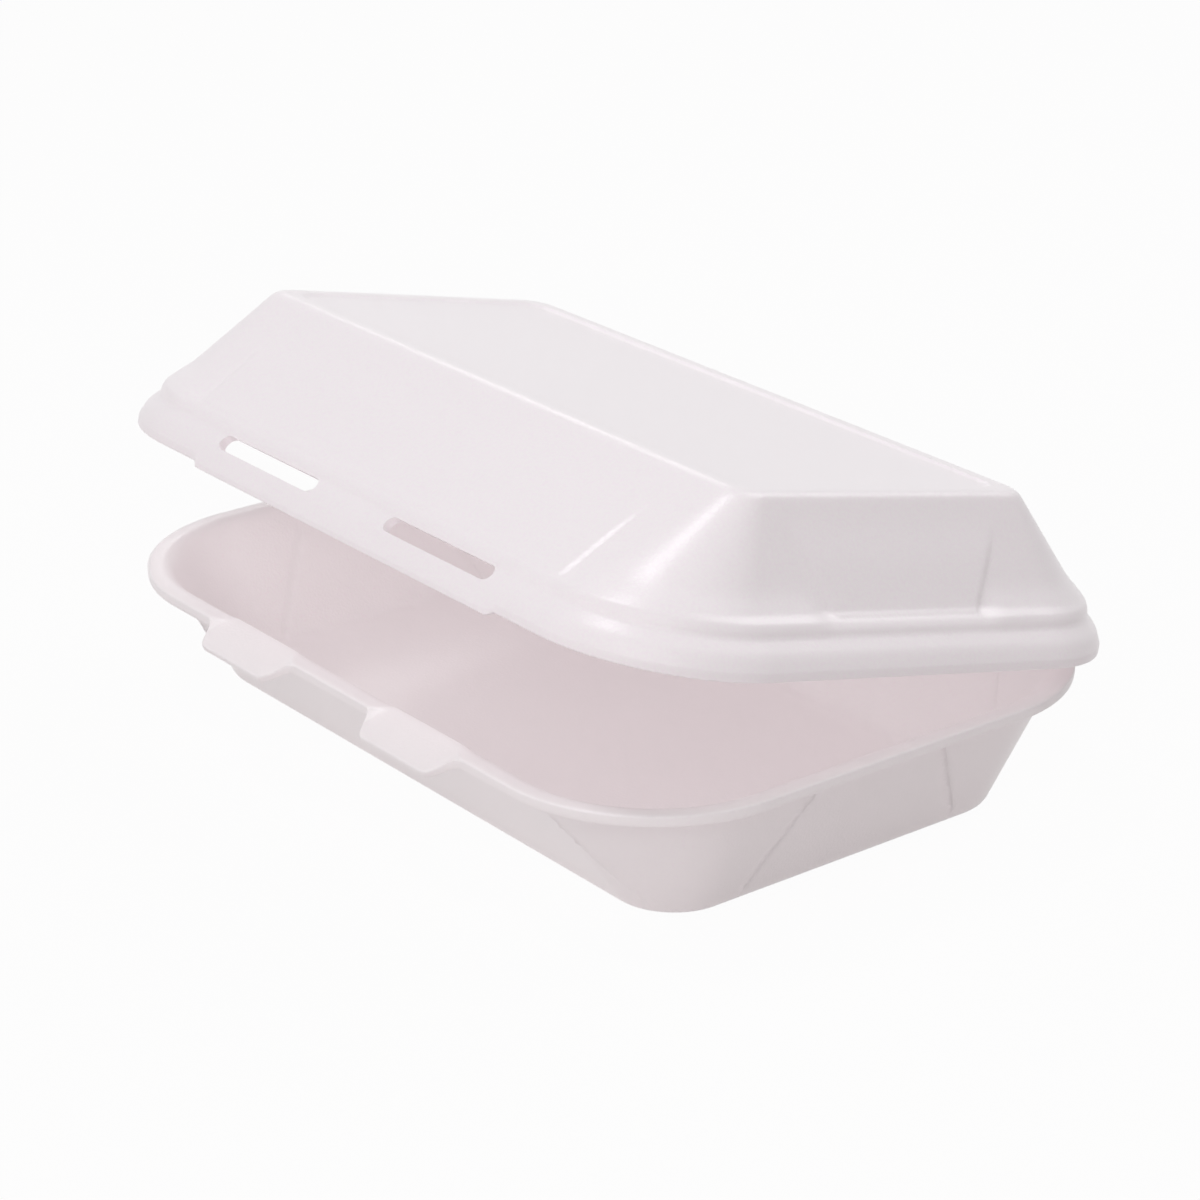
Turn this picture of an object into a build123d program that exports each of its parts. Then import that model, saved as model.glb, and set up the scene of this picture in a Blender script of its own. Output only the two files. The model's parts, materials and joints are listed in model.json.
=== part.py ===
"""Foam clamshell container: a tapered tray and a domed lid joined by a crimped hinge along the back.

All sizes are in millimetres. The origin is the middle of the tray's underside, +X runs along the hinge,
-Y is the front with the latch and +Z is up. The lid is drawn shut and then turned up by its resting angle.
"""

import os
from math import atan2, cos, hypot, pi, radians, sin

from build123d import *

# Foam sheet that both halves are formed from
sheet = 2.6

# Straight bands that stand for a round
round_bands = 3

# Tray: outline at the rim, height, run of its sloping walls from rim to floor, corners, and how far the round
# between floor and wall reaches along the floor and up the wall
rim_length = 240.0
rim_width = 174.0
rim_radius = 45.0
tray_height = 38.0
tray_end_run = 15.5
tray_side_run = 25.0
floor_radius = 15.5
floor_round = 3.6
floor_rise = 3.1

# Rolled bead round the tray's rim, soft edge of its mouth, and the shallow collar in the wall below it
bead_reach = 4.0
bead_height = 3.3
bead_round = 1.5
bead_bands = 4
mouth_round = 1.4
collar_reach = 0.7
collar_height = 2.2

# Two latch tongues on the front of the rim
tongue_width = 31.0
tongue_reach = 7.6
tongue_centre = 36.5
tongue_drop = 1.0
tongue_slope = 25.0
tongue_thick = 2.2
tongue_tip_round = 3.2
tongue_root_round = 4.2
tongue_lap = 1.6

# Lid: gap to the tray when shut, overhang past its rim, height, run of its sloping walls from foot to top,
# and how far the round of the top reaches along the top and down the wall
seat_gap = 0.4
side_overhang = 1.4
end_overhang = 3.0
lid_radius = 40.0
lid_height = 40.0
lid_end_run = 12.6
lid_side_run = 30.7
top_radius = 6.5
top_round = 3.8
top_rise = 2.8

# Lid rim, from its lower edge up: plain edge, flared skirt to a ridge, valley, shoulder and foot of the wall
edge_height = 2.4
edge_round = 0.8
ridge_inset = 1.6
ridge_height = 6.0
valley_inset = 4.8
valley_height = 9.2
shoulder_inset = 5.2
shoulder_height = 10.8
shoulder_top_inset = 6.5
shoulder_top_height = 12.4
foot_inset = 9.2
foot_height = 13.9
foot_radius = 29.0

# Pressed panel in the lid's top
panel_margin = 5.0
panel_depth = 0.8
panel_draft = 1.2

# Lock lip and the two latch slots in the front of the lid's skirt
lip_length = 130.0
lip_reach = 2.2
lip_round = 1.0
lip_lap = 1.0
slot_length = 44.0
slot_width = 3.6
slot_centre = 37.5
slot_inset = 3.4

# Crimped hinge strip along the back
hinge_length = 168.0
hinge_reach = 3.6
hinge_thick = 2.3

# Angle at which the lid rests, measured up from shut
rest_angle = 13.0

# Run of a cutting block past the face that it cuts through
overrun = 1.0

floor_length = rim_length - 2 * (bead_reach + tray_end_run)
floor_width = rim_width - 2 * (bead_reach + tray_side_run)
lid_length = rim_length + 2 * end_overhang
lid_width = rim_width + 2 * side_overhang
lid_floor = tray_height + seat_gap
end_inset = foot_inset + lid_end_run
side_inset = foot_inset + lid_side_run
hinge_y = rim_width / 2 + hinge_reach
hinge_z = tray_height + seat_gap / 2


def drum(sections):
    """Solid lofted straight between level rounded rectangles given as (z, length, width, radius)."""
    faces = [Pos(0, 0, z) * RectangleRounded(length, width, radius) for z, length, width, radius in sections]
    return loft(faces, ruled=True)


def eased_end(far, corner, rise, reach):
    """Outlines of the round at the end of a wall: from a rise short of its sharp corner to a reach inside it."""
    outlines = []
    for band in range(round_bands + 1):
        turned = band / round_bands
        back = rise * (1 - turned) ** 2 / abs(corner[0] - far[0])
        inside = reach * turned ** 2
        z, length, width, radius = (end + (start - end) * back for start, end in zip(far, corner))
        outlines.append((z, length - 2 * inside, width - 2 * inside, radius - inside))
    return outlines


def inner_line(start, end):
    """One straight run of a rim profile moved in by the sheet's thickness, as a point and a direction."""
    run = (end[0] - start[0], end[1] - start[1])
    scale = sheet / hypot(*run)
    return (start[0] - run[1] * scale, start[1] + run[0] * scale), run


def meet(first, second):
    """Crossing point of two lines given as a point and a direction."""
    (p, d), (q, e) = first, second
    t = ((q[0] - p[0]) * e[1] - (q[1] - p[1]) * e[0]) / (d[0] * e[1] - d[1] * e[0])
    return p[0] + d[0] * t, p[1] + d[1] * t


def wall_section(z, grow):
    """Tray wall outline at a height, grown outwards by a distance."""
    share = z / tray_height
    length = floor_length + 2 * tray_end_run * share + 2 * grow
    width = floor_width + 2 * tray_side_run * share + 2 * grow
    radius = floor_radius + (rim_radius - bead_reach - floor_radius) * share + grow
    return z, length, width, radius


def bead_section(turn):
    """Outline of the half-round bead at a turn of its section, from 0 underneath to pi on top."""
    inset = bead_round * (1 - sin(turn))
    z = tray_height - bead_height * (1 + cos(turn)) / 2
    return z, rim_length - 2 * inset, rim_width - 2 * inset, rim_radius - inset


def tab_face(length, reach, lap, tip_round, root_round):
    """Flat tab that stands out along -Y from a straight edge, with its ends curved out of that edge."""
    half = length / 2
    root = half + root_round + lap
    outline = Polyline(
        (-root, lap), (-root, 0), (-half, 0), (-half, -reach),
        (half, -reach), (half, 0), (root, 0), (root, lap), close=True,
    )
    face = make_face(outline)
    face = fillet([v for v in face.vertices() if v.Y < -reach / 2], tip_round)
    return fillet([v for v in face.vertices() if abs(v.Y) < 1e-6 and abs(v.X) < half + 1e-6], root_round)


def make_tongue():
    """Flat latch tongue sloping down and out from the front of the bead."""
    slope = radians(tongue_slope)
    frame = Plane(
        origin=(0, -rim_width / 2, tray_height - tongue_drop),
        x_dir=(1, 0, 0),
        z_dir=(0, -sin(slope), cos(slope)),
    )
    face = tab_face(tongue_width, tongue_reach, tongue_lap, tongue_tip_round, tongue_root_round)
    return frame * extrude(face, -tongue_thick)


def make_hinge_half(low, root):
    """One half of the crimped hinge strip, from a root inside the rim to just short of the hinge line."""
    run = hinge_y - seat_gap / 2 - root
    return Pos(0, root + run / 2, low + hinge_thick / 2) * Box(hinge_length, run, hinge_thick)


def make_tray():
    """Tray with its rolled rim, collar, latch tongues and half of the hinge strip."""
    brim = wall_section(tray_height, 0)
    body = drum([brim] + eased_end(brim, wall_section(0, 0), floor_rise, floor_round))
    bead = drum([bead_section(pi * band / bead_bands) for band in range(bead_bands + 1)])
    collar_top = tray_height - bead_height / 2
    collar_low = tray_height - bead_height - collar_height
    tray = body + bead + drum([wall_section(collar_low, collar_reach), wall_section(collar_top, collar_reach)])
    for side in (-1, 1):
        tray += Pos(side * tongue_centre, 0, 0) * make_tongue()
    tray += make_hinge_half(tray_height - hinge_thick, rim_width / 2 - bead_reach)
    inset = sheet / cos(atan2(tray_side_run, tray_height))
    mouth = [
        wall_section(tray_height + overrun, mouth_round / 2 - inset),
        wall_section(tray_height, mouth_round / 2 - inset),
        wall_section(tray_height - mouth_round, -inset),
    ]
    return tray - drum(mouth + eased_end(mouth[-1], wall_section(sheet, -inset), floor_rise, floor_round))


def lid_profile(top_inset):
    """Outer profile of the lid from its lower edge up, as (inset, height) pairs."""
    return [
        (edge_round, 0), (0, edge_round), (0, edge_height), (ridge_inset, ridge_height),
        (valley_inset, valley_height), (shoulder_inset, shoulder_height),
        (shoulder_top_inset, shoulder_top_height), (foot_inset, foot_height), (top_inset, lid_height),
    ]


def lid_inside(top_inset):
    """Inner profile of the lid: every run of the outer profile moved in by the sheet's thickness."""
    points = lid_profile(top_inset)[1:]
    runs = [inner_line((-a[0], a[1]), (-b[0], b[1])) for a, b in zip(points, points[1:])]
    ceiling = ((0, lid_height - sheet), (1, 0))
    corners = [meet(a, b) for a, b in zip(runs, runs[1:] + [ceiling])]
    return [(sheet, -overrun)] + [(-x, z) for x, z in corners]


def lid_outline(z, inset_x, inset_y, radius):
    """One level outline of the lid, at a height above its lower edge."""
    return lid_floor + z, lid_length - 2 * inset_x, lid_width - 2 * inset_y, radius


def make_panel(drop):
    """Pressed panel of the lid's top, as the block it takes out of the flat above it."""
    low = lid_floor + lid_height - panel_depth - drop
    length = lid_length - 2 * (end_inset + panel_margin)
    width = lid_width - 2 * (side_inset + panel_margin)
    return drum([
        (low, length - 2 * panel_draft, width - 2 * panel_draft, top_radius),
        (low + panel_depth, length, width, top_radius + panel_draft),
        (low + panel_depth + overrun, length, width, top_radius + panel_draft),
    ])


def make_skirt_frame():
    """Plane lying on the front of the skirt, its Y running up the slope and its Z facing out."""
    rise = ridge_height - edge_height
    run = hypot(rise, ridge_inset)
    return Plane(
        origin=(0, -lid_width / 2, lid_floor + edge_height),
        x_dir=(1, 0, 0),
        z_dir=(0, -rise / run, ridge_inset / run),
    )


def make_lid():
    """Lid drawn shut: dome, pressed top, stepped rim, lock lip, latch slots and half of the hinge strip."""
    radii = [lid_radius - inset for inset, _ in lid_profile(0)[:-2]] + [foot_radius, top_radius]
    outer = []
    for (x, z), (y, _), radius in zip(lid_profile(end_inset), lid_profile(side_inset), radii):
        outer.append(lid_outline(z, x, y, radius))
    inner = []
    for (x, z_x), (y, z_y), radius in zip(lid_inside(end_inset), lid_inside(side_inset), radii[1:]):
        inner.append(lid_outline((z_x + z_y) / 2, x, y, max(radius - sheet, top_radius - sheet / 2)))
    shell = drum(outer[:-1] + eased_end(outer[-2], outer[-1], top_rise, top_round)) - make_panel(0)
    hollow = drum(inner[:-1] + eased_end(inner[-2], inner[-1], top_rise, top_round)) - make_panel(sheet)
    lip = tab_face(lip_length, lip_reach, lip_lap, lip_round, lip_round)
    lid = shell + make_skirt_frame() * extrude(lip, -sheet)
    lid += make_hinge_half(lid_floor, lid_width / 2 - sheet)
    lid -= hollow
    slot = extrude(SlotOverall(slot_length, slot_width), lid_height + overrun)
    for side in (-1, 1):
        lid -= Pos(side * slot_centre, slot_inset - lid_width / 2, lid_floor - overrun) * slot
    return lid


tray = make_tray()
lid = make_lid().rotate(Axis((0, hinge_y, hinge_z), (1, 0, 0)), -rest_angle)

os.makedirs("parts", exist_ok=True)
export_step(tray, "parts/base_tray.step")
export_step(lid, "parts/lid.step")
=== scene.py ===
"""Foam clamshell container: a tapered tray and a domed lid of one sheet, folded at a crimped hinge.

Lengths are written in millimetres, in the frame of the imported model: the origin is the middle of the tray's
underside, +X runs along the hinge, -Y is the front with the latch and +Z is up. They become metres when a
surface is laid into its mesh.
"""
import json
import logging
from collections.abc import Callable
from dataclasses import dataclass
from enum import Enum

import bpy
import numpy as np
from mathutils import Matrix, Vector


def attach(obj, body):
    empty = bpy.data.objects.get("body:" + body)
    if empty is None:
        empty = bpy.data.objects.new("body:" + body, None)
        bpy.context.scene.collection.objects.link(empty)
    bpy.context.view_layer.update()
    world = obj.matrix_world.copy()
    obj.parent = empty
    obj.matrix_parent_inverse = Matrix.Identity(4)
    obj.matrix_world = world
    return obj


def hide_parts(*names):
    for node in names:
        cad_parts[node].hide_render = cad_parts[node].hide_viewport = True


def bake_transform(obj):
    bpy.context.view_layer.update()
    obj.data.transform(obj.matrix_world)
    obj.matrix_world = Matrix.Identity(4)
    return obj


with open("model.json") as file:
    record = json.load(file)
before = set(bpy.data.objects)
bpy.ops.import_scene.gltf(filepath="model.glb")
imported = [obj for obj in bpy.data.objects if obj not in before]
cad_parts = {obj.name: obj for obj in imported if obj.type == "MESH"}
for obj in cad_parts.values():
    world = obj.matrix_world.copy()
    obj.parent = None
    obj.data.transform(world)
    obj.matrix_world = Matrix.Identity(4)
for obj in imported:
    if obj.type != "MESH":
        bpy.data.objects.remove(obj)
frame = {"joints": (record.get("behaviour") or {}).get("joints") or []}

LOG = logging.getLogger("clamshell")

# Metres in a millimetre
MM = 0.001

# Size of the small ring round the middle of a floor or ceiling, as a share of the outline there
POLE = 0.02

# Steps from that small ring out to the outline
POLE_STEPS = 8

# Largest share of a run that the round at one of its ends may take
RUN_SHARE = 0.49

# Turn in degrees past which an edge of a shell is drawn sharp
SHARP_TURN = 50.0

# Half length, half width, corner radius and height of one ring of a shell
Ring = tuple[float, float, float, float]

# Inset from a rim's outline, and height
Place = tuple[float, float]

# Red, green and blue
Colour = tuple[float, float, float]


class Body(Enum):
    """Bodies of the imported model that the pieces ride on."""

    BASE = "base"
    LID = "lid"


class Slot(Enum):
    """Material slots of the record."""

    TRAY = "tray_foam"
    LID = "lid_foam"


def smooth(value: np.ndarray, low: float, high: float) -> np.ndarray:
    """Rise from 0 at low to 1 at high with level ends: 10 t^3 - 15 t^4 + 6 t^5.

    Args:
        value: Where the rise is wanted.
        low: Value at which the rise starts.
        high: Value at which it is complete; below low the step falls instead.

    Returns:
        The share risen at each value.
    """
    t = np.clip((value - low) / (high - low), 0.0, 1.0)
    return t ** 3 * (10.0 - 15.0 * t + 6.0 * t ** 2)


def bell(value: np.ndarray, width: float) -> np.ndarray:
    """Bell curve of a distance: exp(-(value / width)^2)."""
    return np.exp(-(value / width) ** 2)


def miter(line: np.ndarray, distance: float) -> np.ndarray:
    """Line moved to its left by a distance, kept parallel run by run.

    Each corner moves along the sum of the normals of its two runs, divided by one plus their dot product.

    Args:
        line: Corners of an open line, one (across, up) row each.
        distance: How far every run moves.

    Returns:
        The moved corners, as many as were given.
    """
    run = np.diff(line, axis=0)
    run /= np.linalg.norm(run, axis=1, keepdims=True)
    left = np.stack([-run[:, 1], run[:, 0]], axis=1)
    before = np.concatenate([left[:1], left])
    after = np.concatenate([left, left[-1:]])
    return line + distance * (before + after) / (1.0 + (before * after).sum(axis=1, keepdims=True))


@dataclass(frozen=True)
class Ease:
    """Round at one corner of a section.

    Attributes:
        cut: Distance along both runs at which the round starts, or 0 for a plain corner.
        steps: Rows that the round is made of.
    """

    cut: float = 0.0
    steps: int = 7


def eased(corners: list[Ring], eases: list[Ease]) -> np.ndarray:
    """Section with eased corners, as rows from its first corner to its last.

    A corner with a cut gives way to the curve (1-t)^2 P + 2t(1-t) Q + t^2 R, where Q is the corner, and P and
    R lie on its two runs at the cut's distance. A corner without one stays a single row.

    Args:
        corners: Ring at each corner.
        eases: Round at each corner.

    Returns:
        The rows of the section.
    """
    points = np.array(corners)
    rows = []
    for at, ease in enumerate(eases):
        here = points[at]
        if not ease.cut:
            rows.append(here[None])
            continue
        t = np.linspace(0.0, 1.0, ease.steps)[:, None]
        sides = points[[at - 1, at + 1]] - here
        reach = np.minimum(ease.cut / np.linalg.norm(sides[:, [1, 3]], axis=1), RUN_SHARE)
        start, end = here + sides * reach[:, None]
        rows.append((1.0 - t) ** 2 * start + 2.0 * t * (1.0 - t) * here + t ** 2 * end)
    return np.concatenate(rows)


def spread(rows: np.ndarray, longest: float) -> np.ndarray:
    """Places that fill a section evenly, as row numbers with shares between them.

    A step that is too long is cut into equal parts. The first and the last step, which cross the two middles,
    are cut into a fixed count.

    Args:
        rows: Rows of the section.
        longest: Longest step wanted, measured on width and height.

    Returns:
        Row numbers from 0 to the last one.
    """
    gap = np.linalg.norm(np.diff(rows[:, [1, 3]], axis=0), axis=1)
    parts = np.maximum(np.ceil(gap / longest).astype(int), 1)
    parts[[0, -1]] = POLE_STEPS
    return np.concatenate([np.arange(n) / n + at for at, n in enumerate(parts)] + [[len(parts)]])


def filled(rows: np.ndarray, places: np.ndarray) -> np.ndarray:
    """Rows of a section read off straight at row numbers with shares between them."""
    return np.stack([np.interp(places, np.arange(len(rows)), column) for column in rows.T], axis=1)


def pole(ring: Ring) -> Ring:
    """Small ring round the middle of a ring, at its height."""
    return ring[0] * POLE, ring[1] * POLE, ring[2] * POLE, ring[3]


@dataclass(frozen=True)
class Outline:
    """Path round a rounded rectangle, shared by all rings of one half.

    A sample is the share (cx, cy) of a corner's centre and a facing angle. Its point on a ring is
    x = cx (half length - radius) + radius cos(angle), y = cy (half width - radius) + radius sin(angle).
    Along a straight side the share slides from one corner to the next, and round a corner the angle turns.

    Attributes:
        front: Steps along the front side, where the latch is.
        back: Steps along the back side.
        end: Steps along each end.
        corner: Steps round each corner.
        crowd: How far the steps crowd towards the creases between sides and corners, from 0 to 1.
        even_front: Whether the steps along the front are even instead.
    """

    front: int = 280
    back: int = 60
    end: int = 130
    corner: int = 54
    crowd: float = 0.4
    even_front: bool = True

    def crowded(self, steps: int) -> np.ndarray:
        """Shares t - crowd sin(2 pi t) / 2 pi of a run, closer together at its two ends.

        Args:
            steps: Steps in the run.

        Returns:
            Shares from 0 up to the last before 1.
        """
        t = np.arange(steps) / steps
        return t - self.crowd * np.sin(2.0 * np.pi * t) / (2.0 * np.pi)

    def samples(self) -> tuple[np.ndarray, np.ndarray, np.ndarray]:
        """Walk anticlockwise from the left of the front side.

        Returns:
            The two shares and the facing angle of every sample.
        """
        corners = np.array([(-1, -1), (1, -1), (1, 1), (-1, 1)], float)
        turn, share = [], []
        for k, steps in enumerate((self.front, self.end, self.back, self.end)):
            here, there = corners[k], corners[(k + 1) % 4]
            even = k == 0 and self.even_front
            t = np.arange(steps) / steps if even else self.crowded(steps)
            share += [here + (there - here) * t[:, None], np.repeat(there[None], self.corner, axis=0)]
            turn += [np.full(steps, k - 1.0), k - 1.0 + self.crowded(self.corner)]
        cx, cy = np.concatenate(share).T
        return cx, cy, np.concatenate(turn) * np.pi / 2.0

    def rings(self, rows: np.ndarray) -> np.ndarray:
        """Points of every ring of a section.

        Args:
            rows: Half length, half width, radius and height of each ring.

        Returns:
            Points on a grid of rings by samples.
        """
        cx, cy, turn = self.samples()
        half, wide, radius, height = (rows[:, k, None] for k in range(4))
        x = cx * (half - radius) + radius * np.cos(turn)
        y = cy * (wide - radius) + radius * np.sin(turn)
        return np.stack([x, y, np.broadcast_to(height, x.shape)], axis=2)


def build(name: str, points: np.ndarray, corners: np.ndarray, sizes: np.ndarray) -> bpy.types.Object:
    """Mesh object from flat arrays.

    Args:
        name: Name of the piece.
        points: Places of its vertices, in metres.
        corners: Vertex of each face corner, face after face.
        sizes: Corners of each face.

    Returns:
        The new object, smooth shaded and linked to the scene.
    """
    mesh = bpy.data.meshes.new(name)
    mesh.vertices.add(len(points))
    mesh.vertices.foreach_set("co", points.astype(np.float32).reshape(-1))
    mesh.loops.add(len(corners))
    mesh.loops.foreach_set("vertex_index", corners.astype(np.int32))
    mesh.polygons.add(len(sizes))
    mesh.polygons.foreach_set("loop_start", (np.cumsum(sizes) - sizes).astype(np.int32))
    mesh.update(calc_edges=True)
    mesh.validate()
    mesh.shade_smooth()
    piece = bpy.data.objects.new(name, mesh)
    bpy.context.scene.collection.objects.link(piece)
    return piece


def lay(name: str, grid: np.ndarray) -> bpy.types.Object:
    """Closed mesh of a grid of rings, each end closed by a fan round its middle.

    Args:
        name: Name of the piece.
        grid: Points in millimetres, rings by samples.

    Returns:
        The new object, at the origin.
    """
    rings, samples = grid.shape[:2]
    ends = np.stack([grid[0].mean(axis=0), grid[-1].mean(axis=0)])
    points = np.concatenate([grid.reshape(-1, 3), ends]) * MM
    here = np.arange(rings * samples).reshape(rings, samples)
    there = np.roll(here, -1, axis=1)
    quads = np.stack([here[:-1], there[:-1], there[1:], here[1:]], axis=2).reshape(-1)
    low = np.stack([there[0], here[0], np.full(samples, rings * samples)], axis=1).reshape(-1)
    high = np.stack([here[-1], there[-1], np.full(samples, rings * samples + 1)], axis=1).reshape(-1)
    sizes = np.concatenate([np.full(quads.size // 4, 4), np.full(2 * samples, 3)])
    return build(name, points, np.concatenate([quads, low, high]), sizes)


@dataclass(frozen=True)
class WallPanels:
    """Flat panels pressed into the four walls between two heights, each framed by a fine crease at its sides.

    A panel's half width runs straight from its low end to its high end. Inside the panel the wall stands out
    by the lift, and along each side runs a narrow rib.

    Attributes:
        low: Height of the low end, with the half widths of the long and of the end walls' panels there.
        high: The same at the high end.
        fade: Run over which the panels fade in at their low end and out at their high end.
        lift: How far a panel stands out of its wall.
        edge: Width of the slope at a panel's sides.
        rib: Height of the rib along the crease.
        rib_width: Half width of the rib.
    """

    low: tuple[float, float, float]
    high: tuple[float, float, float]
    fade: tuple[float, float]
    lift: float
    edge: float
    rib: float
    rib_width: float

    def depth(self, grid: np.ndarray, height: np.ndarray) -> np.ndarray:
        """Distance inside the nearest panel's side: its half width less the place along the wall.

        Args:
            grid: Points of the surface, rings by samples.
            height: Height of each ring.

        Returns:
            Distances, positive inside a panel.
        """
        share = (height - self.low[0]) / (self.high[0] - self.low[0])
        long_half = self.low[1] + (self.high[1] - self.low[1]) * share
        end_half = self.low[2] + (self.high[2] - self.low[2]) * share
        along = long_half[:, None] - np.abs(grid[:, :, 0])
        across = end_half[:, None] - np.abs(grid[:, :, 1])
        return np.maximum(along, across)

    def press(self, grid: np.ndarray, height: np.ndarray, turn: np.ndarray) -> None:
        """Move a surface's walls out by lift over the panels, plus the rib's bell along their sides.

        Args:
            grid: Points of the surface, rings by samples, changed in place.
            height: Height of each ring.
            turn: Facing angle of each sample.
        """
        depth = self.depth(grid, height)
        band = smooth(height, self.low[0], self.low[0] + self.fade[0])
        band = band * smooth(height, self.high[0], self.high[0] - self.fade[1])
        panel = self.lift * smooth(depth, -self.edge / 2.0, self.edge / 2.0)
        move = panel + self.rib * bell(depth, self.rib_width)
        grid[:, :, 0] += band[:, None] * move * np.cos(turn)
        grid[:, :, 1] += band[:, None] * move * np.sin(turn)


@dataclass(frozen=True)
class PressedSkin:
    """Pattern of the foam's pressed cells, a node group that every finish shares.

    Cells come from a Voronoi pattern, fine grain and soft clouds from two noises. The height is the grain and
    a share of the cells, the colour follows cells and clouds, and the roughness follows the grain.

    Attributes:
        name: Name of the group.
        melt: How far the cells run into one another.
        grain: Scale, detail and roughness of the fine grain's noise.
        cloud: The same of the clouds' noise.
        cell_height: Share of the cells in the height.
        cell_tint: Share of the cells in the colour.
        cloud_tint: Share of the clouds in the colour.
        grain_gloss: Share of the grain in the roughness.
    """

    name: str = "foam_skin"
    melt: float = 0.6
    grain: tuple[float, float, float] = (900.0, 4.0, 0.62)
    cloud: tuple[float, float, float] = (38.0, 2.0, 0.5)
    cell_height: float = 0.55
    cell_tint: float = 0.85
    cloud_tint: float = 0.2
    grain_gloss: float = 0.12

    def noise(self, tree: bpy.types.NodeTree, place: bpy.types.NodeSocket,
              kind: tuple[float, float, float]) -> bpy.types.NodeSocket:
        """Noise over the surface.

        Args:
            tree: Tree that it is built in.
            place: Socket of the place on the surface.
            kind: Scale, detail and roughness of the noise.

        Returns:
            Socket with the noise.
        """
        node = tree.nodes.new("ShaderNodeTexNoise")
        for name, value in zip(("Scale", "Detail", "Roughness"), kind):
            node.inputs[name].default_value = value
        tree.links.new(place, node.inputs["Vector"])
        return node.outputs["Fac"]

    def weighted(self, tree: bpy.types.NodeTree, value: bpy.types.NodeSocket, share: float,
                 more: bpy.types.NodeSocket | None = None) -> bpy.types.NodeSocket:
        """Value times a share, plus another value where one is given.

        Args:
            tree: Tree that it is built in.
            value: Socket of the value.
            share: Share that it is taken by.
            more: Socket of what is added.

        Returns:
            Socket with the sum.
        """
        node = tree.nodes.new("ShaderNodeMath")
        node.operation = "MULTIPLY_ADD"
        node.inputs[1].default_value = share
        node.inputs[2].default_value = 0.0
        tree.links.new(value, node.inputs[0])
        if more:
            tree.links.new(more, node.inputs[2])
        return node.outputs[0]

    def group(self) -> bpy.types.NodeTree:
        """Node group of the pattern.

        Returns:
            The group, made on the first call.
        """
        found = bpy.data.node_groups.get(self.name)
        if found:
            return found
        tree = bpy.data.node_groups.new(self.name, "ShaderNodeTree")
        for name, kind in (("Place", "Vector"), ("Cells", "Float"), ("Gloss", "Float"), ("Light", "Color"),
                           ("Dark", "Color")):
            tree.interface.new_socket(name, in_out="INPUT", socket_type=f"NodeSocket{kind}")
        for name, kind in (("Colour", "Color"), ("Roughness", "Float"), ("Height", "Float")):
            tree.interface.new_socket(name, in_out="OUTPUT", socket_type=f"NodeSocket{kind}")
        given = tree.nodes.new("NodeGroupInput").outputs
        result = tree.nodes.new("NodeGroupOutput").inputs
        voronoi = tree.nodes.new("ShaderNodeTexVoronoi")
        voronoi.feature = "SMOOTH_F1"
        voronoi.inputs["Smoothness"].default_value = self.melt
        tree.links.new(given["Place"], voronoi.inputs["Vector"])
        tree.links.new(given["Cells"], voronoi.inputs["Scale"])
        cells = voronoi.outputs["Distance"]
        grain = self.noise(tree, given["Place"], self.grain)
        clouds = self.weighted(tree, self.noise(tree, given["Place"], self.cloud), self.cloud_tint)
        colour = tree.nodes.new("ShaderNodeMix")
        colour.data_type = "RGBA"
        tree.links.new(self.weighted(tree, cells, self.cell_tint, clouds), colour.inputs["Factor"])
        tree.links.new(given["Light"], colour.inputs["A"])
        tree.links.new(given["Dark"], colour.inputs["B"])
        tree.links.new(colour.outputs["Result"], result["Colour"])
        tree.links.new(self.weighted(tree, grain, self.grain_gloss, given["Gloss"]), result["Roughness"])
        tree.links.new(self.weighted(tree, cells, self.cell_height, grain), result["Height"])
        return tree


@dataclass(frozen=True)
class FoamFinish:
    """Finish of the foam sheet: pale, satin, with a fine grain of pressed cells.

    Attributes:
        name: Name of the material.
        light: Colour over the middle of the cells.
        dark: Colour between the cells.
        gloss: Least roughness of the skin.
        cells: Cells in a metre.
        grain: Depth of the grain, in metres.
        painted_glow: Strength of the painted glow, an even emission of the sheet that stands in for light
            seeping through it from behind.
        painted_glow_colour: Colour of that painted glow.
        skin: Pattern of the cells.
    """

    name: str
    light: Colour
    dark: Colour
    gloss: float = 0.25
    cells: float = 1300.0
    grain: float = 0.00005
    # Painted glow: an even emission of the sheet, standing in for light that seeps through the thin foam, and
    # its colour
    painted_glow: float = 0.098
    painted_glow_colour: Colour = (1.0, 0.98, 0.97)
    skin: PressedSkin = PressedSkin()

    def material(self) -> bpy.types.Material:
        """Material of this finish.

        Returns:
            The material, made on the first call.
        """
        found = bpy.data.materials.get(self.name)
        if found:
            return found
        material = bpy.data.materials.new(self.name)
        material.use_nodes = True
        nodes, links = material.node_tree.nodes, material.node_tree.links
        shader = nodes["Principled BSDF"]
        place = nodes.new("ShaderNodeTexCoord")
        skin = nodes.new("ShaderNodeGroup")
        skin.node_tree = self.skin.group()
        colours = {"Light": (*self.light, 1.0), "Dark": (*self.dark, 1.0)}
        for name, value in {"Cells": self.cells, "Gloss": self.gloss, **colours}.items():
            skin.inputs[name].default_value = value
        bump = nodes.new("ShaderNodeBump")
        bump.inputs["Distance"].default_value = self.grain
        bump.inputs["Strength"].default_value = 1.0
        links.new(place.outputs["Object"], skin.inputs["Place"])
        links.new(skin.outputs["Colour"], shader.inputs["Base Color"])
        links.new(skin.outputs["Roughness"], shader.inputs["Roughness"])
        links.new(skin.outputs["Height"], bump.inputs["Height"])
        links.new(bump.outputs["Normal"], shader.inputs["Normal"])
        # Painted glow: the sheet emits a faint even light of its own, standing in for the light that seeps
        # through the thin foam from behind
        shader.inputs["Emission Color"].default_value = (*self.painted_glow_colour, 1.0)
        shader.inputs["Emission Strength"].default_value = self.painted_glow
        return material

    def dress(self, piece: bpy.types.Object) -> None:
        """Give a piece this finish."""
        piece.data.materials.clear()
        piece.data.materials.append(self.material())


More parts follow.
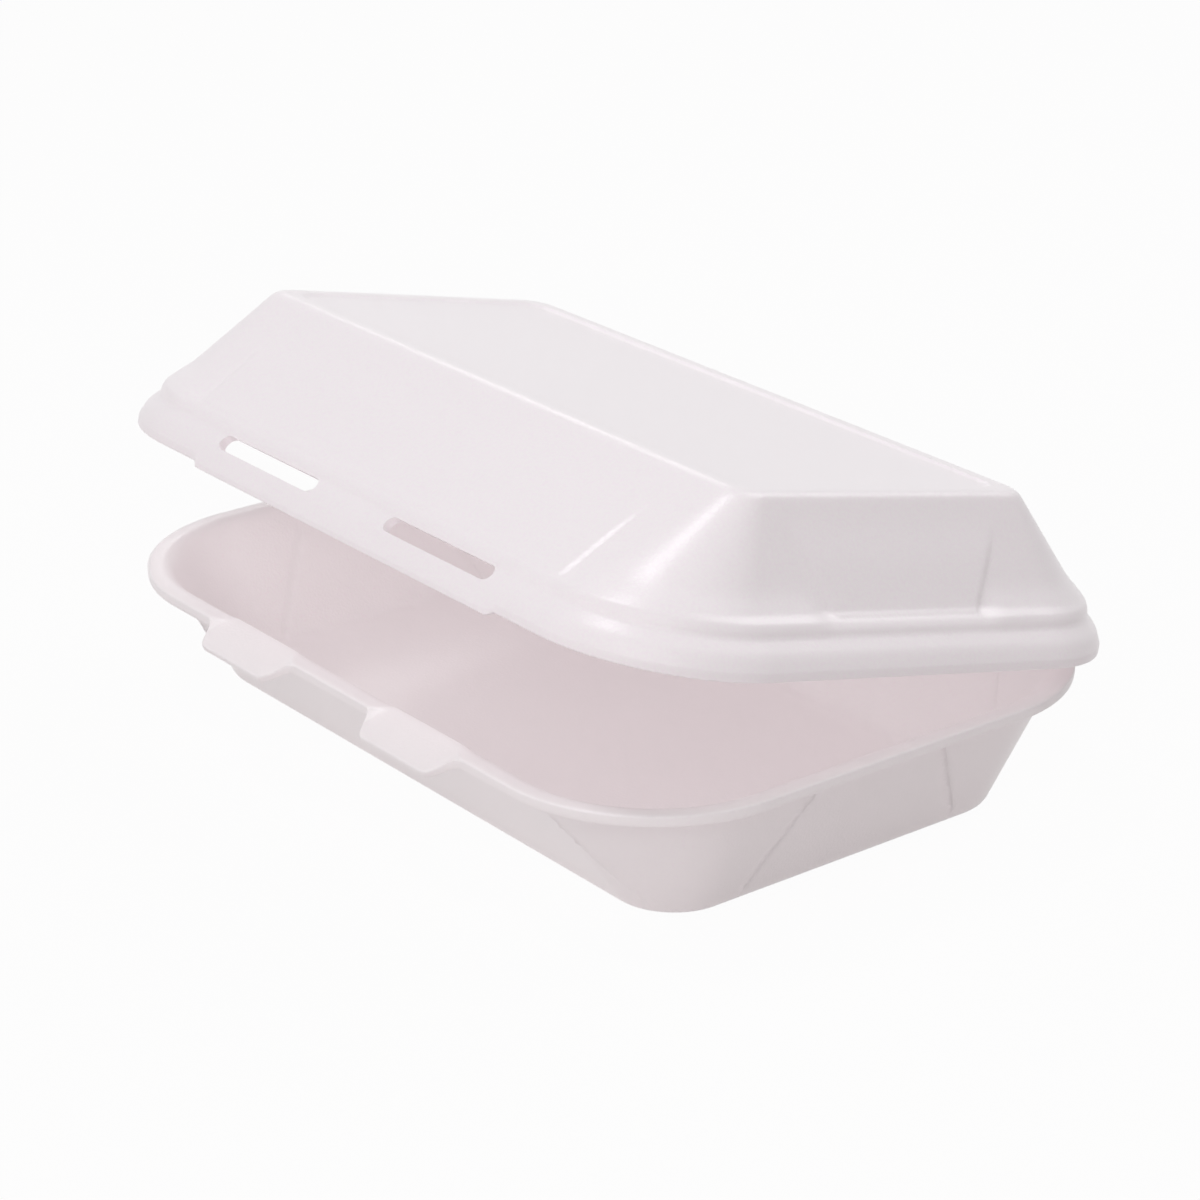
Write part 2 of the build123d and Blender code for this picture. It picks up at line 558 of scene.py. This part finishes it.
@dataclass(frozen=True)
class Hinge:
    """Line that the lid turns on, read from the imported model.

    Attributes:
        y: Place of the line, back from the origin.
        z: Height of the line.
        rest: Angle in degrees at which the lid rests, up from shut.
        half: Half the length of the crimped strip.
        ramp: Length over which the strip rises out of the rim at its ends.
        gap: Gap between the two halves when shut.
        stop: Where the stiff strips end, short of the line.
        thin: Thickness of the strip at the line.
    """

    y: float
    z: float
    rest: float
    half: float = 84.0
    ramp: float = 1.2
    gap: float = 0.4
    stop: float = 1.5
    thin: float = 1.3

    @classmethod
    def read(cls) -> "Hinge":
        """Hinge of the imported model.

        Returns:
            The hinge, at the place of the model's one joint; shut is the low end of its range.
        """
        joint = frame["joints"][0]
        _, y, z = joint["pos_m"]
        return cls(y / MM, z / MM, -joint["range_deg"][0])

    def span(self, x: np.ndarray) -> np.ndarray:
        """Share of the strip at places along the hinge: 1 along it, 0 past its ends."""
        return smooth(np.abs(x), self.half + self.ramp / 2.0, self.half - self.ramp / 2.0)

    def turn(self, points: np.ndarray, share: np.ndarray | float = 1.0) -> np.ndarray:
        """Shut places turned up about the hinge line by a share of the rest angle.

        Args:
            points: Places with the lid shut.
            share: Share of the rest angle, for each place or for all.

        Returns:
            The turned places.
        """
        angle = np.radians(self.rest) * share
        y, z = points[..., 1] - self.y, points[..., 2] - self.z
        back = self.y + y * np.cos(angle) + z * np.sin(angle)
        high = self.z - y * np.sin(angle) + z * np.cos(angle)
        return np.stack([points[..., 0], back, high], axis=-1)


@dataclass
class Shell:
    """One half of the box: a section carried round the outline, changed along the front and the hinge."""

    # Path that the section follows, hinge at its back, and finish of its foam
    outline: Outline
    hinge: Hinge
    finish: FoamFinish

    # Outline over the rim, thickness of the sheet, and longest step between two rows of the section
    half_length: float
    half_width: float
    radius: float
    sheet: float = 2.6
    longest: float = 2.6

    def rim_ring(self, inset: float, z: float) -> Ring:
        """Ring of the rim's outer edge, moved in by a distance, at a height."""
        return self.half_length - inset, self.half_width - inset, self.radius - inset, z

    def carry(self, plain: np.ndarray, front: np.ndarray, hinged: np.ndarray,
              share: Callable[[np.ndarray], np.ndarray]) -> tuple[np.ndarray, np.ndarray]:
        """Carry the sections round the outline.

        Each sample of the plain section moves towards the front's section by its share, and along the back
        towards the hinge's by the strip's share. Where the outline curves away from the strip, what stands
        out past the rim is moved back to the strip's straight edge.

        Args:
            plain: Rows of the plain section.
            front: Rows of the section that it becomes along the front.
            hinged: Rows of the section that it becomes along the hinge.
            share: Share of the front's section at places along the front.

        Returns:
            Points in millimetres, rings by samples, and the plain section's row of each ring.
        """
        _, cy, _ = self.outline.samples()
        places = spread(plain, self.longest)
        plain, front, hinged = (filled(rows, places) for rows in (plain, front, hinged))
        grid = self.outline.rings(plain)
        edge = grid[np.argmax(plain[:, 0])]
        ahead = share(edge[:, 0]) * (edge[:, 1] < 0) * (cy < 0)
        back = self.hinge.span(edge[:, 0]) * (edge[:, 1] > 0)
        out = hinged[:, 1] - self.half_width
        past = np.clip(out / out.max(), 0.0, 1.0)
        short = np.maximum(self.half_width - edge[:, 1], 0.0) * back
        grid = grid + ahead[None, :, None] * (self.outline.rings(front) - grid)
        grid = grid + back[None, :, None] * (self.outline.rings(hinged) - grid)
        grid[:, :, 1] += past[:, None] * short[None, :]
        return grid, plain


@dataclass
class Tray(Shell):
    """Lower half: floor, tapered walls with pressed panels, rolled rim, two latch tongues and hinge strip."""

    # Outline over the rim, height, run of the walls from rim to floor, and level inset of their inner faces
    half_length: float = 120.0
    half_width: float = 87.0
    radius: float = 45.0
    height: float = 38.0
    end_run: float = 15.5
    side_run: float = 25.0
    wall_inset: float = 3.1

    # Corners of the floor, and its rounds towards the walls outside and inside
    floor_radius: float = 15.5
    floor_ease: Ease = Ease(3.6)
    inner_ease: Ease = Ease(3.4)

    # Shallow collar in the wall under the rim
    collar_reach: float = 0.5
    collar_low: float = 31.8
    collar_ramp: float = 0.8
    collar_ease: Ease = Ease(0.5)

    # Rolled rim, its edge from below up as places over its underside, and the soft edge of the mouth
    bead_reach: float = 4.0
    bead_height: float = 3.4
    bead_edge: tuple[Place, Place, Place] = ((0.35, 0.0), (0.0, 1.1), (0.0, 2.0))
    edge_eases: tuple[Ease, Ease, Ease] = (Ease(0.9), Ease(0.7), Ease(0.7))
    crest_ease: Ease = Ease(1.5)
    mouth_flare: float = 0.9
    mouth_ease: Ease = Ease(5.2)

    # Latch tongues: place, half width at mid slope with the curves at root and tip, plate and where it starts
    tongue_centre: float = 36.5
    tongue_half: float = 15.5
    tongue_root: float = 5.0
    tongue_tip: float = 3.2
    tongue_start: float = 4.3
    tongue_reach: float = 7.6
    tongue_slope: float = 25.0
    tongue_drop: float = 1.0
    tongue_thick: float = 2.2
    tongue_under: Place = (0.35, -0.1)

    # Root of the hinge strip under the rim, as a place over the rim's underside, and where its top starts
    strip_under: Place = (0.2, 0.6)
    strip_start: float = 1.0

    panels: WallPanels = WallPanels(
        low=(2.0, 96.0, 37.0), high=(32.0, 76.0, 20.5), fade=(4.0, 1.5),
        lift=-0.3, edge=1.2, rib=0.8, rib_width=0.6,
    )

    @property
    def under(self) -> float:
        """Height of the rim's underside."""
        return self.height - self.bead_height

    def wall(self, z: float, grow: float) -> Ring:
        """Ring of the sloping wall.

        Args:
            z: Height of the ring.
            grow: Distance that it is grown outwards by.

        Returns:
            The ring.
        """
        share = z / self.height
        floor_length = self.half_length - self.bead_reach - self.end_run
        floor_width = self.half_width - self.bead_reach - self.side_run
        radius = self.floor_radius + (self.radius - self.bead_reach - self.floor_radius) * share
        length = floor_length + self.end_run * share
        width = floor_width + self.side_run * share
        return length + grow, width + grow, radius + grow, z

    def section(self, edge: list[Place], crest: float) -> np.ndarray:
        """Section from the middle of the underside, up outside, over the rim and down inside.

        Args:
            edge: The rim's outer edge from below up, as three places.
            crest: Inset at which the rim's top starts.

        Returns:
            Rows of the section.
        """
        low = self.wall(0.0, 0.0)
        deep = self.wall(self.sheet, -self.wall_inset)
        corners = [
            pole(low),
            low,
            self.wall(self.collar_low, 0.0),
            self.wall(self.collar_low + self.collar_ramp, self.collar_reach),
            self.wall(self.under, self.collar_reach),
            *[self.rim_ring(*place) for place in edge],
            self.rim_ring(crest, self.height),
            self.wall(self.height, -self.wall_inset + self.mouth_flare),
            deep,
            pole(deep),
        ]
        eases = [
            Ease(), self.floor_ease, *[self.collar_ease] * 3, *self.edge_eases,
            self.crest_ease, self.mouth_ease, self.inner_ease, Ease(),
        ]
        return eased(corners, eases)

    def plain(self) -> np.ndarray:
        """Section of the plain rolled rim."""
        return self.section([(inset, self.under + rise) for inset, rise in self.bead_edge], 0.0)

    def tongued(self) -> np.ndarray:
        """Section through a latch tongue, a flat plate sloping down and out from the rim's top.

        Returns:
            Rows of the section.
        """
        slope = np.radians(self.tongue_slope)
        out = self.tongue_reach * np.cos(slope)
        tip = self.height - self.tongue_drop - self.tongue_reach * np.sin(slope)
        inset, rise = self.tongue_under
        lower = (-out + self.tongue_thick * np.sin(slope), tip - self.tongue_thick * np.cos(slope))
        return self.section([(inset, self.under + rise), lower, (-out, tip)], self.tongue_start)

    def hinged(self) -> np.ndarray:
        """Section through the hinge strip, a level plate that thins towards the hinge line.

        Returns:
            Rows of the section.
        """
        out = self.hinge.y - self.hinge.stop - self.half_width
        inset, rise = self.strip_under
        lower = (-out, self.height - self.hinge.thin)
        return self.section([(inset, self.under + rise), lower, (-out, self.height)], self.strip_start)

    def tongues(self, x: np.ndarray) -> np.ndarray:
        """Share of a tongue's reach at places along the front, S-curved at both ends of each."""
        away = np.abs(np.abs(x) - self.tongue_centre)
        return smooth(away, self.tongue_half + self.tongue_root, self.tongue_half - self.tongue_tip)

    def surface(self) -> np.ndarray:
        """Grid of the whole tray.

        The section is carried round the outline, with the tongues along the front and the hinge strip along
        the back, and the walls get their pressed panels.

        Returns:
            Points in millimetres, rings by samples.
        """
        grid, rows = self.carry(self.plain(), self.tongued(), self.hinged(), self.tongues)
        self.panels.press(grid, rows[:, 3], self.outline.samples()[2])
        return grid

    def make(self) -> bpy.types.Object:
        """Build the tray, ride it on its body and dress it.

        Returns:
            The tray.
        """
        piece = lay("tray_shell", self.surface())
        piece.data.set_sharp_from_angle(angle=np.radians(SHARP_TURN))
        self.finish.dress(piece)
        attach(piece, Body.BASE.value)
        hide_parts("base_tray")
        return piece


@dataclass
class Lid(Shell):
    """Upper half: domed shell with stepped rim, pressed panels, lock lip, two latch slots and hinge strip.

    Heights are over its lower edge, except that of the edge itself, which is over the tray's underside.
    """

    # Outline over the rim, height of the lower edge when shut, and height over it
    half_length: float = 123.0
    half_width: float = 88.4
    radius: float = 40.0
    floor: float = 38.4
    height: float = 40.0

    # Run of the walls from foot to top, corner radii there, least radius inside, and rounds at the top
    end_run: float = 12.6
    side_run: float = 30.7
    foot_radius: float = 29.0
    top_radius: float = 6.5
    inner_radius: float = 6.7
    top_ease: Ease = Ease(2.6)
    inner_top_ease: Ease = Ease(3.0, 5)

    # Level run past the top's corner, which the inner face of the top is parallel to
    top_run: float = 20.0

    # Rim from its lower edge up to the walls' foot, the round at each place, and its inner side
    rim: tuple[Place, ...] = (
        (0.0, 0.0), (0.0, 1.2), (0.0, 2.4), (1.6, 6.0), (4.8, 9.2), (5.2, 10.8), (6.5, 12.4), (9.2, 13.9),
    )
    rim_eases: tuple[Ease, ...] = tuple(Ease(cut, 6) for cut in (0.7, 0.4, 0.4, 1.4, 1.0, 0.7, 0.9, 1.2))
    edge_high: float = 2.2
    edge_eases: tuple[Ease, Ease] = (Ease(0.8, 4), Ease(0.7, 4))
    inner_ease: Ease = Ease(0.6, 3)

    # Pressed panel in the top, and how much further in its inner face turns
    panel_margin: float = 5.0
    panel_depth: float = 0.8
    panel_draft: float = 1.2
    panel_eases: tuple[Ease, Ease] = (Ease(0.4, 4), Ease(0.6, 4))
    ceiling_inset: float = 0.8
    ceiling_ease: Ease = Ease(0.5, 3)

    # Lock lip: half length, curve at its ends, reach down the skirt's slope, and the plain edge below it
    lip_half: float = 65.0
    lip_ramp: float = 3.0
    lip_reach: float = 2.2
    lip_edge: float = 1.6
    lip_high: float = 2.6
    lip_inset: float = 1.1

    # Latch slots: place, size, and the slope and half run of their punches
    slot_centre: float = 37.5
    slot_half: float = 22.0
    slot_width: float = 4.5
    slot_inset: float = 3.1
    slot_rise: float = 7.5
    slot_slope: float = 27.0
    slot_run: float = 8.0
    slot_steps: int = 17

    panels: WallPanels = WallPanels(
        low=(12.6, 78.5, 24.5), high=(36.0, 81.0, 37.0), fade=(1.2, 14.0),
        lift=0.7, edge=1.4, rib=-0.35, rib_width=0.6,
    )

    # Filling of the walls' foot round the corners: depth, half height, and run over which it sets in
    foot_fill: float = 1.1
    foot_spread: float = 2.6
    foot_fade: float = 9.0

    def top_ring(self, inset: float, z: float) -> Ring:
        """Ring of the top's outline, with its corner radius kept.

        Args:
            inset: Distance that it is moved in by.
            z: Height of the ring.

        Returns:
            The ring.
        """
        foot = self.rim[-1][0]
        length = self.half_length - (foot + self.end_run) - inset
        return length, self.half_width - (foot + self.side_run) - inset, self.top_radius, z

    def inner_line(self, run: float) -> np.ndarray:
        """Inner face of rim and wall: the outer line moved in by the sheet's thickness.

        Args:
            run: Run of the wall from its foot to the top.

        Returns:
            Places from the skirt's ridge up to the top.
        """
        top = self.rim[-1][0] + run
        line = np.array([*self.rim[2:], (top, self.height), (top + self.top_run, self.height)])
        mirror = np.array([-1.0, 1.0])
        return miter(line * mirror, self.sheet)[1:-1] * mirror

    def inside(self) -> list[Ring]:
        """Rings of the inner face, from the skirt's ridge up to the top.

        Returns:
            The rings, each at the mean height of its end and side places.
        """
        radii = [self.radius - inset for inset, _ in self.rim[3:-1]] + [self.foot_radius, self.top_radius]
        rings = []
        for end, side, radius in zip(self.inner_line(self.end_run), self.inner_line(self.side_run), radii):
            inner = max(radius - self.sheet, self.inner_radius)
            height = (end[1] + side[1]) / 2.0
            rings.append((self.half_length - end[0], self.half_width - side[0], inner, height))
        return rings

    def section(self, rim: list[Place], inner: list[Place]) -> np.ndarray:
        """Section from the middle of the ceiling, down inside, round the lower edge and up to the top.

        Args:
            rim: Outer rim from its lower edge up to the wall's foot.
            inner: Lower edge's inner side from above down, as two places.

        Returns:
            Rows of the section.
        """
        inside = self.inside()
        outside = [self.rim_ring(*place) for place in rim]
        foot = (*outside[-1][:2], self.foot_radius, outside[-1][3])
        low = self.height - self.panel_depth
        margin, draft = self.panel_margin, self.panel_margin + self.panel_draft
        pressed = self.top_ring(draft, low)
        corners = [
            pole((*pressed[:3], low - self.sheet)),
            self.top_ring(draft + self.ceiling_inset, low - self.sheet),
            self.top_ring(margin + self.ceiling_inset, self.height - self.sheet),
            *inside[::-1],
            *[self.rim_ring(*place) for place in inner],
            *outside[:-1],
            foot,
            self.top_ring(0.0, self.height),
            self.top_ring(margin, self.height),
            pressed,
            pole(pressed),
        ]
        eases = [
            Ease(), *[self.ceiling_ease] * 2, self.inner_top_ease, *[self.inner_ease] * (len(inside) - 1),
            *self.edge_eases, *self.rim_eases, self.top_ease, *self.panel_eases, Ease(),
        ]
        return eased(corners, eases)

    def plain(self) -> np.ndarray:
        """Section of the plain stepped rim."""
        return self.section(list(self.rim), [(self.sheet, self.edge_high), (self.sheet, 0.0)])

    def lipped(self) -> np.ndarray:
        """Section through the lock lip, where the flared skirt runs on down and out before its edge.

        Returns:
            Rows of the section.
        """
        run = np.array(self.rim[3]) - np.array(self.rim[2])
        down = -run / np.linalg.norm(run) * self.lip_reach
        crease = np.array(self.rim[2]) + down
        low = crease[1] - self.lip_edge
        rim = [(crease[0], low), (crease[0], (crease[1] + low) / 2.0), tuple(crease), *self.rim[3:]]
        return self.section(rim, [(self.sheet, self.lip_high), (self.lip_inset, low)])

    def hinged(self) -> np.ndarray:
        """Section through the hinge strip, a level plate that thins towards the hinge line.

        Returns:
            Rows of the section.
        """
        out = self.hinge.y - self.hinge.stop - self.half_width
        rim = [(-out, 0.0), (-out, self.hinge.thin), *self.rim[2:]]
        return self.section(rim, [(self.sheet, self.edge_high), (self.sheet, 0.0)])

    def lip(self, x: np.ndarray) -> np.ndarray:
        """Share of the lock lip at places along the front: 1 along it, 0 past its ends."""
        return smooth(np.abs(x), self.lip_half + self.lip_ramp / 2.0, self.lip_half - self.lip_ramp / 2.0)

    def surface(self) -> np.ndarray:
        """Grid of the whole lid at its rest angle.

        The section is carried round the outline, with the lip along the front and the hinge strip along the
        back. Round the corners the wall's foot is filled by a bell of the height, so that its line dies away
        there, and the walls get their pressed panels.

        Returns:
            Points in millimetres, rings by samples.
        """
        grid, rows = self.carry(self.plain(), self.lipped(), self.hinged(), self.lip)
        turn = self.outline.samples()[2]
        height = rows[:, 3]
        outside = (np.arange(len(rows)) > np.argmax(rows[:, 0])).astype(float)
        corner = smooth(self.panels.depth(grid, height), 0.0, -self.foot_fade)
        fill = self.foot_fill * corner * (outside * bell(height - self.rim[-1][1], self.foot_spread))[:, None]
        grid[:, :, 0] += fill * np.cos(turn)
        grid[:, :, 1] += fill * np.sin(turn)
        self.panels.press(grid, height, turn)
        grid[:, :, 2] += self.floor
        return self.hinge.turn(grid)

    def slot_block(self, side: int) -> bpy.types.Object:
        """Punch for one latch slot: a stadium carried through the rim's flank, out and up at a slope.

        Args:
            side: -1 for the left slot, 1 for the right one.

        Returns:
            The punch, turned with the lid.
        """
        radius = self.slot_width / 2.0
        turn = np.linspace(-np.pi / 2.0, np.pi / 2.0, self.slot_steps)
        x = self.slot_half - radius + radius * np.cos(turn)
        y = radius * np.sin(turn)
        along, up = np.concatenate([x, -x]), np.concatenate([y, -y])
        slope = np.radians(self.slot_slope)
        way = np.array([0.0, -np.cos(slope), np.sin(slope)])
        flat = np.stack([along, up * np.sin(slope), up * np.cos(slope)], axis=1)
        front = self.slot_inset - self.half_width
        middle = np.array([side * self.slot_centre, front, self.floor + self.slot_rise])
        start = self.hinge.turn(middle + flat - way * self.slot_run)
        end = self.hinge.turn(middle + flat + way * self.slot_run)
        return lay(f"slot_punch_{side}", np.stack([start, end]))

    def punch(self, piece: bpy.types.Object) -> None:
        """Cut the two latch slots out of the lid.

        Args:
            piece: The lid, whose mesh is replaced by the cut one.
        """
        punches = [self.slot_block(side) for side in (-1, 1)]
        for punch in punches:
            cut = piece.modifiers.new(punch.name, "BOOLEAN")
            cut.operation = "DIFFERENCE"
            cut.solver = "EXACT"
            cut.object = punch
        bpy.context.view_layer.update()
        shown = piece.evaluated_get(bpy.context.evaluated_depsgraph_get())
        cut_mesh = bpy.data.meshes.new_from_object(shown)
        piece.modifiers.clear()
        piece.data = cut_mesh
        for punch in punches:
            bpy.data.objects.remove(punch)
        piece.data.shade_smooth()

    def make(self) -> bpy.types.Object:
        """Build the lid, punch its slots, ride it on its body and dress it.

        Returns:
            The lid.
        """
        piece = lay("lid_shell", self.surface())
        self.punch(piece)
        piece.data.set_sharp_from_angle(angle=np.radians(SHARP_TURN))
        self.finish.dress(piece)
        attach(piece, Body.LID.value)
        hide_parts("lid")
        return piece


@dataclass
class HingeWeb:
    """Thin crimped web between the two strips, which folds along the hinge line."""

    hinge: Hinge
    finish: FoamFinish

    # Lap over the ends of the strips, and reach behind the hinge line
    lap: float = 0.5
    bulge: float = 0.3

    # Depths of the outer and of the inner half ellipse, and how far the inner one lies before the outer one
    nose: float = 0.7
    fold: float = 0.3
    fold_back: float = 0.35

    # Points round each half ellipse, loops along the hinge, and turn past which an edge is drawn sharp
    across: int = 9
    along: int = 60
    sharp: float = 40.0

    def section(self) -> np.ndarray:
        """Closed section of the folded web with the lid shut, as a flat loop behind the hinge line.

        The outer line runs from the lower strip back round the hinge line to the upper strip as half an
        ellipse; the inner line follows it at the gap between the strips.

        Returns:
            Places (back, up) from the hinge line, anticlockwise seen along the hinge.
        """
        turn = np.linspace(-np.pi / 2.0, np.pi / 2.0, self.across)
        root = -self.hinge.stop - self.lap
        half = self.hinge.gap / 2.0
        high = half + self.hinge.thin
        centre = self.bulge - self.nose
        outer = np.stack([centre + self.nose * np.cos(turn), high * np.sin(turn)], axis=1)
        inner = np.stack([centre - self.fold_back + self.fold * np.cos(turn), half * np.sin(turn)], axis=1)
        return np.concatenate([
            [[root, -high]], outer, [[root, high], [root, half]], inner[::-1], [[root, -half]],
        ])

    def make(self) -> bpy.types.Object:
        """Build the web, bend it between the two bodies and dress it.

        Returns:
            The web.
        """
        loop = self.section()
        share = smooth(loop[:, 1], -self.hinge.gap, self.hinge.gap)
        shut = np.stack([np.zeros(len(loop)), loop[:, 0] + self.hinge.y, loop[:, 1] + self.hinge.z], axis=1)
        rest = self.hinge.turn(shut, share)
        x = np.linspace(-self.hinge.half, self.hinge.half, self.along)
        piece = lay("hinge_web", rest[None] + x[:, None, None] * np.array([1.0, 0.0, 0.0]))
        piece.data.set_sharp_from_angle(angle=np.radians(self.sharp))
        self.finish.dress(piece)
        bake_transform(piece)
        return piece


def standing(turn: float, rise: float) -> Vector:
    """Direction of something that stands round the object.

    Args:
        turn: Degrees from the front towards the right.
        rise: Degrees above the floor.

    Returns:
        Unit vector from the object.
    """
    round_angle, up_angle = np.radians([turn, rise])
    level = np.cos(up_angle)
    return Vector((np.sin(round_angle) * level, -np.cos(round_angle) * level, np.sin(up_angle)))


@dataclass(frozen=True)
class Lamp:
    """Soft square lamp.

    Attributes:
        name: Name of the lamp.
        turn: Where it stands round the object, in degrees from the front towards the right.
        rise: How high it stands, in degrees above the floor.
        size: Side of the square in metres.
        power: Power in watts.
        tint: Colour of its light.
        mirrored: Whether glossy surfaces show it.
        away: Distance from the object in metres.
    """

    name: str
    turn: float
    rise: float
    size: float
    power: float
    tint: Colour = (1.0, 1.0, 1.0)
    mirrored: bool = True
    away: float = 1.8

    def place(self, aim: Vector) -> None:
        """Stand the lamp and face it to a place.

        Args:
            aim: Place that the lamp faces.
        """
        back = standing(self.turn, self.rise)
        light = bpy.data.lights.new(self.name, "AREA")
        light.shape = "SQUARE"
        light.size = self.size
        light.energy = self.power
        light.color = self.tint
        lamp = bpy.data.objects.new(self.name, light)
        lamp.visible_glossy = self.mirrored
        lamp.location = aim + back * self.away
        lamp.rotation_euler = back.to_track_quat("Z", "Y").to_euler()
        bpy.context.scene.collection.objects.link(lamp)


@dataclass
class Studio:
    """Pale floor, white surroundings, soft lamps and the camera, in metres and degrees."""

    # Floor: half its side, how far it lies under the object, its colour, and the white that the camera sees
    floor_half: float = 4.0
    floor_drop: float = 0.0002
    floor_colour: Colour = (0.70, 0.64, 0.65)
    glow: float = 0.96

    # Place that lamps and camera face
    aim: tuple[float, float, float] = (0.0, 0.0, 0.035)

    # Camera: where it stands, its roll and distance, and how far it looks to the right and up, as slopes
    turn: float = 51.59
    rise: float = 22.77
    roll: float = 0.227
    away: float = 0.9419
    drift: tuple[float, float] = (0.001, 0.004)

    # Focal length and width of its picture, in millimetres
    lens: float = 104.83
    sensor: float = 36.0

    # A small lamp for the bright streaks, three broad ones, and one for the line along the lid's crest
    lamps: tuple[Lamp, ...] = (
        Lamp("key", turn=-42.0, rise=75.0, size=0.32, power=5.4, tint=(1.0, 1.0, 1.04)),
        Lamp("left_front", turn=-40.0, rise=30.0, size=1.4, power=6.4, mirrored=False),
        Lamp("right_front", turn=41.0, rise=30.0, size=1.4, power=16.0, mirrored=False),
        Lamp("back", turn=174.0, rise=50.0, size=1.2, power=11.4),
        Lamp("rim", turn=-124.0, rise=30.0, size=0.34, power=1.1),
    )

    def seen(self, tree: bpy.types.NodeTree, share: float) -> bpy.types.NodeSocket:
        """Share for camera, glossy and transmission rays, and nothing for the rest.

        Args:
            tree: Tree that it is built in.
            share: Value for those rays.

        Returns:
            Socket with the value.
        """
        path = tree.nodes.new("ShaderNodeLightPath")
        value = path.outputs["Is Camera Ray"]
        for ray in ("Is Glossy Ray", "Is Transmission Ray"):
            either = tree.nodes.new("ShaderNodeMath")
            either.operation = "MAXIMUM"
            tree.links.new(value, either.inputs[0])
            tree.links.new(path.outputs[ray], either.inputs[1])
            value = either.outputs[0]
        scaled = tree.nodes.new("ShaderNodeMath")
        scaled.operation = "MULTIPLY"
        scaled.inputs[1].default_value = share
        tree.links.new(value, scaled.inputs[0])
        return scaled.outputs[0]

    def floor(self) -> None:
        """White floor that shows the camera a white ground and keeps the object's shadow."""
        side, low = self.floor_half, -self.floor_drop
        points = np.array([(-side, -side, low), (side, -side, low), (side, side, low), (-side, side, low)])
        piece = build("studio_floor", points, np.arange(4), np.array([4]))
        material = bpy.data.materials.new("studio_white")
        material.use_nodes = True
        tree = material.node_tree
        tree.nodes.remove(tree.nodes["Principled BSDF"])
        matte = tree.nodes.new("ShaderNodeBsdfDiffuse")
        matte.inputs["Color"].default_value = (*self.floor_colour, 1.0)
        shine = tree.nodes.new("ShaderNodeEmission")
        mix = tree.nodes.new("ShaderNodeMixShader")
        tree.links.new(self.seen(tree, self.glow), mix.inputs["Fac"])
        tree.links.new(matte.outputs[0], mix.inputs[1])
        tree.links.new(shine.outputs[0], mix.inputs[2])
        tree.links.new(mix.outputs[0], tree.nodes["Material Output"].inputs["Surface"])
        piece.data.materials.append(material)

    def sky(self) -> None:
        """White surroundings that the camera and the gloss see, and that throw no light of their own."""
        world = bpy.data.worlds.new("studio_world")
        world.use_nodes = True
        bpy.context.scene.world = world
        white = world.node_tree.nodes["Background"]
        white.inputs["Color"].default_value = (1.0, 1.0, 1.0, 1.0)
        world.node_tree.links.new(self.seen(world.node_tree, 1.0), white.inputs["Strength"])

    def camera(self) -> None:
        """Camera at the photograph's viewing angle, set as the scene's own."""
        roll = np.radians(self.roll)
        back = standing(self.turn, self.rise)
        across = Vector((0.0, 0.0, 1.0)).cross(back).normalized()
        look = (across * self.drift[0] + back.cross(across) * self.drift[1] - back).normalized()
        right = look.cross(Vector((0.0, 0.0, 1.0))).normalized()
        up = right.cross(look)
        right, up = right * np.cos(roll) + up * np.sin(roll), up * np.cos(roll) - right * np.sin(roll)
        lens = bpy.data.cameras.new("photo_camera")
        lens.sensor_width = self.sensor
        lens.lens = self.lens
        camera = bpy.data.objects.new("photo_camera", lens)
        facing = Matrix((right, up, -look)).transposed().to_4x4()
        camera.matrix_world = Matrix.Translation(Vector(self.aim) + back * self.away) @ facing
        bpy.context.scene.collection.objects.link(camera)
        bpy.context.scene.camera = camera

    def set_up(self) -> None:
        """Build floor, sky, lamps and camera, and set the plain view."""
        bpy.context.scene.view_settings.view_transform = "Standard"
        self.floor()
        self.sky()
        for lamp in self.lamps:
            lamp.place(Vector(self.aim))
        self.camera()


def main() -> None:
    """Build every piece and the studio, and note the size of the result."""
    logging.basicConfig(level=logging.INFO, format="%(name)s: %(message)s")
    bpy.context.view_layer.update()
    hinge = Hinge.read()
    tray_skin = FoamFinish("tray_foam_white", light=(0.985, 0.936, 0.945), dark=(0.93, 0.87, 0.882))
    lid_skin = FoamFinish("lid_foam_white", light=(0.98, 0.918, 0.943), dark=(0.925, 0.857, 0.885))
    lid_outline = Outline(front=200, back=40, corner=44, even_front=False)
    parts = (Tray(Outline(), hinge, tray_skin), Lid(lid_outline, hinge, lid_skin), HingeWeb(hinge, tray_skin))
    for part in parts:
        piece = part.make()
        LOG.info("%s: %d faces", piece.name, len(piece.data.polygons))
    Studio().set_up()


if __name__ == "__main__":
    main()
